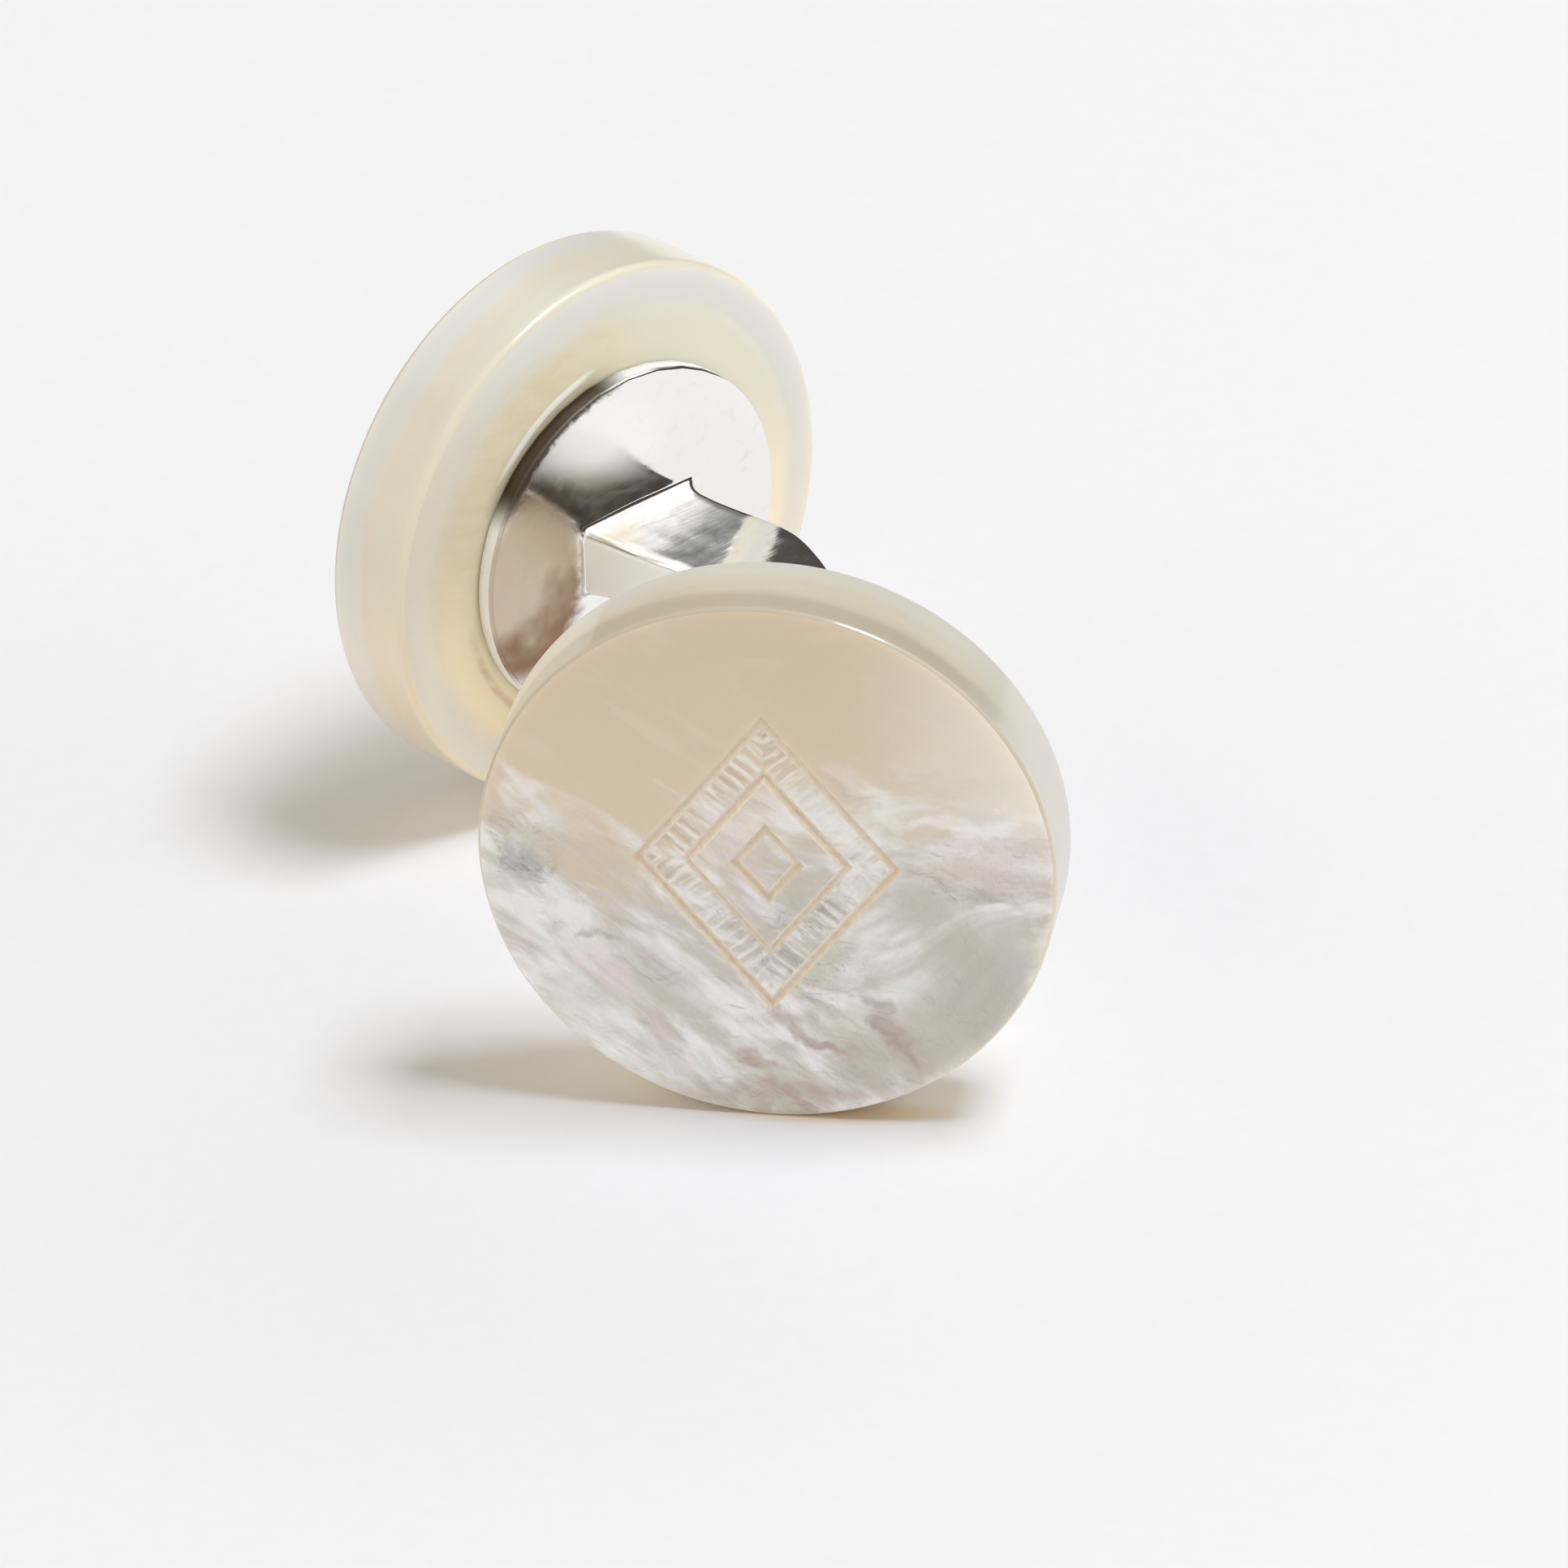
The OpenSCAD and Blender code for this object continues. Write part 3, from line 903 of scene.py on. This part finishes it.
def make_silver_material(name, groups, shares, dark_start, buffed):
    """Hand-polished silver: slightly uneven, finely scratched, with reflections and shade painted on the rear
    plate.

    shares gives the strengths of the painted pale, deep dark and oval reflections,
    and dark_start the radius from which the plate's painted dark line runs outwards.
    buffed is false for the plates' own edges, which stay satin.
    """
    material, tree, shader = new_material(name)
    spot = disc_place(tree, groups, REAR)
    place = spot["Place"]
    uneven = clouds(tree, place, 0.5, 2.0, 0.4, 0.4)
    spots = clouds(tree, place, 2.6, 5.0, 0.65, 0.5)
    scratches = clouds(tree, vector_maths(tree, "MULTIPLY", place, (1.2, 14.0, 9.0)), 1.0, 3.0, 0.6)
    colour = blend(tree, fade(tree, spots, 0.55, 0.8, 0.0, 0.35), SILVER, SILVER_SPOTS)
    # Reflections and shade painted on the rear plate
    colour, pale_reflection_mask, oval_reflection_mask, dark = add_painted_reflections_and_shade(tree, groups, spot, spots, colour, shares, dark_start)

    # A buff hardly reaches the inner side of the bend
    normal = node(tree, "ShaderNodeTexCoord").outputs["Normal"]
    facing = node(tree, "ShaderNodeSeparateXYZ", {0: normal}).outputs[0]
    inner = product(tree, fade(tree, facing, -0.6, -0.75), fade(tree, spot["Depth"], 0.9, 1.0))
    colour = blend(tree, inner, colour, SATIN)
    satin = inner
    if not buffed:
        satin = maths(tree, "MAXIMUM", inner, maths(tree, "SUBTRACT", 1.0, dark))
    metal = maths(tree, "MULTIPLY_ADD", maths(tree, "MAXIMUM", satin, pale_reflection_mask), -0.93, 1.0)
    rough = fade(tree, spots, 0.3, 0.75, 0.05, 0.13)
    for mask, rise in ((oval_reflection_mask, 0.34), (dark, 0.3), (satin, 0.3), (pale_reflection_mask, 0.1)):
        rough = maths(tree, "MULTIPLY_ADD", mask, rise, rough)
    gentle = bumps(tree, uneven, 0.2, 0.12)
    link_in(tree, shader, Base_Color=colour, Metallic=metal, Roughness=rough,
            Normal=bumps(tree, scratches, 0.15, 0.008, Normal=gentle))
    return material


def make_floor_material(groups):
    """Pale matt paper, with a painted warm shadow at the front disc's foot, tinted like the light the disc
    lets through.
    """
    material, tree, shader = new_material("pale_paper")
    shader.inputs["Specular IOR Level"].default_value = 0.2
    where = node(tree, "ShaderNodeTexCoord").outputs["Object"]
    grain = clouds(tree, where, 1500.0, 3.0, 0.6)
    colour = blend(tree, fade(tree, grain, 0.3, 0.7), PAPER_DARK, PAPER_LIGHT)
    painted_warm_shadow_mask = soft_patch(tree, groups, in_millimetres(tree, where), *PAINTED_WARM_SHADOW_PATCH)
    colour = blend(tree, painted_warm_shadow_mask, colour, PAINTED_WARM_SHADOW)
    rough = fade(tree, grain, 0.3, 0.7, 0.85, 0.95)
    link_in(tree, shader, Base_Color=colour, Roughness=rough, Normal=bumps(tree, grain, 0.15, 0.06))
    return material


# Stage, light and camera

# The room that the metal and the gloss mirror
ROOM_DIM = (0.075, 0.068, 0.06)
ROOM_RIGHT = (0.34, 0.35, 0.37)
ROOM_LOW_RIGHT = (0.06, 0.047, 0.034)
ROOM_FRONT = (0.85, 0.84, 0.83)
ROOM_LEFT = (0.82, 0.81, 0.79)
ROOM_HIGH = (0.20, 0.21, 0.215)
SCREEN = (1.25, 1.25, 1.24)
# The walls that light the matt surfaces, and what the camera sees behind the paper
WALL_LEFT = (1.22, 1.12, 0.94)
WALL_RIGHT = (1.68, 1.55, 1.32)
WALL_AT_CAMERA = (0.80, 0.73, 0.62)
WALL_TOP = (0.0, 0.0, 0.0)
BACKDROP = (0.86, 0.86, 0.86)
# Half the width of the paper, in metres
PAPER_HALF = 3.0


def make_floor(groups):
    """A wide sheet of paper at z = 0."""
    mesh = bpy.data.meshes.new("paper_floor")
    h = PAPER_HALF
    mesh.from_pydata([(-h, -h, 0), (h, -h, 0), (h, h, 0), (-h, h, 0)], [], [(0, 1, 2, 3)])
    floor = bpy.data.objects.new("paper_floor", mesh)
    bpy.context.collection.objects.link(floor)
    mesh.materials.append(make_floor_material(groups))


def make_light(name, direction, distance, size, watts, colour):
    """A soft oblong light that faces the cufflink from a direction."""
    data = bpy.data.lights.new(name, "AREA")
    data.shape = "RECTANGLE"
    data.size, data.size_y = size
    data.energy = watts
    data.color = colour
    lamp = bpy.data.objects.new(name, data)
    bpy.context.collection.objects.link(lamp)
    towards = Vector(direction).normalized()
    lamp.location = towards * distance
    lamp.rotation_mode = "QUATERNION"
    lamp.rotation_quaternion = towards.to_track_quat("Z", "Y")


def mirrored_room(tree, ray, height):
    """What the metal and the gloss mirror: a dim room under a broad white screen."""
    right = vector_maths(tree, "DOT_PRODUCT", ray, (0.85, -0.42, 0.32))
    front = vector_maths(tree, "DOT_PRODUCT", ray, (-0.49, -0.86, 0.12))
    left = vector_maths(tree, "DOT_PRODUCT", ray, (-0.97, 0.1, 0.2))
    room = blend(tree, fade(tree, right, 0.3, 0.9), ROOM_DIM, ROOM_RIGHT)
    low_right = product(tree, fade(tree, right, 0.35, 0.75), fade(tree, height, 0.49, 0.38))
    room = blend(tree, low_right, room, ROOM_LOW_RIGHT)
    room = blend(tree, fade(tree, front, 0.4, 0.8), room, ROOM_FRONT)
    room = blend(tree, fade(tree, left, 0.55, 0.85), room, ROOM_LEFT)

    # The screen hangs lower on the right
    lifted = maths(tree, "ADD", fade(tree, right, 0.5, 0.9, 0.0, 0.1), height)
    room = blend(tree, fade(tree, lifted, 0.51, 0.55), room, ROOM_HIGH)
    return blend(tree, fade(tree, lifted, 0.595, 0.67), room, SCREEN)


def pale_walls(tree, ray, height):
    """What lights the matt surfaces: pale walls all round, brightest on the right."""
    side = vector_maths(tree, "DOT_PRODUCT", ray, (0.94, -0.34, 0.0))
    towards_camera = vector_maths(tree, "DOT_PRODUCT", ray, (0.1, -0.99, 0.0))
    walls = blend(tree, fade(tree, side, -0.4, 0.8), WALL_LEFT, WALL_RIGHT)
    walls = blend(tree, fade(tree, towards_camera, 0.3, 0.9), walls, WALL_AT_CAMERA)
    return blend(tree, fade(tree, height, 0.56, 0.78), walls, WALL_TOP)


def make_world():
    """The room that the gloss mirrors, the wider soft light of the studio, and a pale backdrop."""
    world = bpy.data.worlds.new("studio_room")
    bpy.context.scene.world = world
    world.use_nodes = True
    tree = world.node_tree
    tree.nodes.clear()
    ray = node(tree, "ShaderNodeTexCoord").outputs["Generated"]
    height = node(tree, "ShaderNodeSeparateXYZ", {0: ray}).outputs[2]
    path = node(tree, "ShaderNodeLightPath")
    colour = blend(tree, path.outputs["Is Diffuse Ray"], mirrored_room(tree, ray, height),
                   pale_walls(tree, ray, height))
    colour = blend(tree, path.outputs["Is Camera Ray"], colour, BACKDROP)
    back = node(tree, "ShaderNodeBackground", {"Color": colour, "Strength": 1.0})
    node(tree, "ShaderNodeOutputWorld", {0: back.outputs[0]})


def make_camera():
    """The camera stands where the photograph was taken from."""
    right = Vector((0.95688, -0.28863, -0.03259))
    up = Vector((0.17203, 0.47273, 0.86425))
    forward = Vector((0.23405, 0.83260, -0.50201))
    position = Vector((-94.230, -345.415, 211.832)) * MM
    data = bpy.data.cameras.new("camera")
    data.lens = 362.7
    data.sensor_width = 36.0
    data.clip_start = 0.01
    data.clip_end = 20.0
    camera = bpy.data.objects.new("camera", data)
    bpy.context.collection.objects.link(camera)
    turn = Matrix((right, up, -forward)).transposed().to_4x4()
    camera.matrix_world = Matrix.Translation(position) @ turn
    bpy.context.scene.camera = camera


# The whole scene

# Marks on the engraved face, a row each: across, up, half length, half width, turn in
# degrees, colour and strength
FACE_MARKS = (
    (-6.5, -0.2, 0.4, 0.8, 10, (0.36, 0.36, 0.365), 0.65),
    (-6.2, 1.9, 1.1, 0.4, -5, (0.87, 0.845, 0.80), 0.6),
    (-4.5, 0.8, 1.1, 0.7, -25, (0.69, 0.58, 0.455), 0.85),
    (-4.1, -5.5, 2.4, 0.9, -31, (0.85, 0.865, 0.855), 0.8),
    (-4.3, -3.4, 2.0, 0.6, -44, (0.79, 0.675, 0.675), 0.65),
    (-2.9, -4.9, 0.8, 0.4, -30, (0.70, 0.56, 0.54), 0.6),
    (-4.5, -2.4, 0.9, 0.16, -30, (0.46, 0.37, 0.31), 0.7),
    (-0.9, -4.9, 1.8, 0.6, -38, (0.85, 0.855, 0.83), 0.7),
    (3.2, -5.6, 2.6, 1.3, 25, (0.51, 0.46, 0.41), 0.7),
    (5.6, -3.7, 2.2, 1.8, -45, (0.50, 0.475, 0.425), 0.8),
    (4.5, -1.6, 2.2, 0.7, -52, (0.49, 0.50, 0.43), 0.65),
    (6.2, -2.6, 1.5, 0.7, -65, (0.55, 0.54, 0.52), 0.6),
    (1.1, -5.0, 1.5, 0.3, -36, (0.43, 0.335, 0.30), 0.9),
    (1.9, -4.5, 1.2, 0.18, -33, (0.82, 0.80, 0.76), 0.6),
    (3.1, -4.6, 1.7, 0.32, -57, (0.41, 0.32, 0.29), 0.9),
    (0.4, -6.9, 2.4, 0.45, 2, (0.48, 0.35, 0.32), 0.75),
    (-0.5, -6.0, 0.7, 0.35, -10, (0.48, 0.34, 0.31), 0.8),
    (1.1, -1.8, 1.6, 0.6, -50, (0.50, 0.52, 0.45), 0.45),
    (4.9, 1.5, 2.6, 0.28, 2, (0.89, 0.885, 0.865), 0.8),
    (5.3, 0.4, 2.2, 0.45, -4, (0.84, 0.835, 0.81), 0.6),
)
# Centre, half width and half height of the dented parts of that face
DENTS = (((1.0, -2.3), (1.6, 1.9)), ((5.6, 0.2), (1.8, 1.2)), ((-6.3, 0.4), (0.8, 1.0)))
# A row for each disc: its name, end and imported node, whether it is engraved, the colours of its
# wall's layers, the wall's painted shade at the left and right, the roughness of its gloss, marks and dents
DISCS = (
    ("front_disc", FRONT, "front_pearl_disc", True, FRONT_LAYERS, (0.80, 0.62), FINE_POLISH,
     FACE_MARKS, DENTS),
    ("rear_disc", REAR, "rear_pearl_disc", False, REAR_LAYERS, (0.79, 0.77), SOFT_POLISH, (), ()),
)


def build():
    """Makes the three pieces with their materials, and the paper they stand on."""
    groups = {"place": make_place_group(), "pearl": make_pearl_group(), "patch": make_patch_group(),
              "layers": make_layers_group()}
    cut = make_cut_material(groups)
    for name, side, replaced, engraved, layers, painted_shades, polish, marks, dents in DISCS:
        piece = make_disc(name, side, engraved)
        piece.data.materials.append(make_face_material(name + "_face", side, groups, marks, dents))
        piece.data.materials.append(cut)
        piece.data.materials.append(make_wall_material(name + "_wall", side, groups, layers, painted_shades, polish))
        piece.data.materials.append(make_back_material(name + "_back", side, groups, polish))
        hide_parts(replaced)
        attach(piece, "root")
    link = make_link()
    metal = make_silver_material("polished_silver", groups, shares=(0.9, 0.85, 0.9), dark_start=4.62,
                                 buffed=True)
    # The plates' own edges, with their painted dark line
    edges = make_silver_material("satin_silver_with_painted_shade", groups, shares=(0.0, 0.0, 0.1), dark_start=3.62,
                                 buffed=False)
    link.data.materials.append(metal)
    link.data.materials.append(edges)
    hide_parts("silver_link")
    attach(link, "root")
    make_floor(groups)


build()
make_world()
make_light("key_light", direction=(0.345, -0.185, 1.0), distance=0.7, size=(0.27, 0.20), watts=2.75,
           colour=(0.90, 0.99, 1.13))
make_camera()
view = bpy.context.scene.view_settings
view.view_transform = "Standard"
view.look = "None"
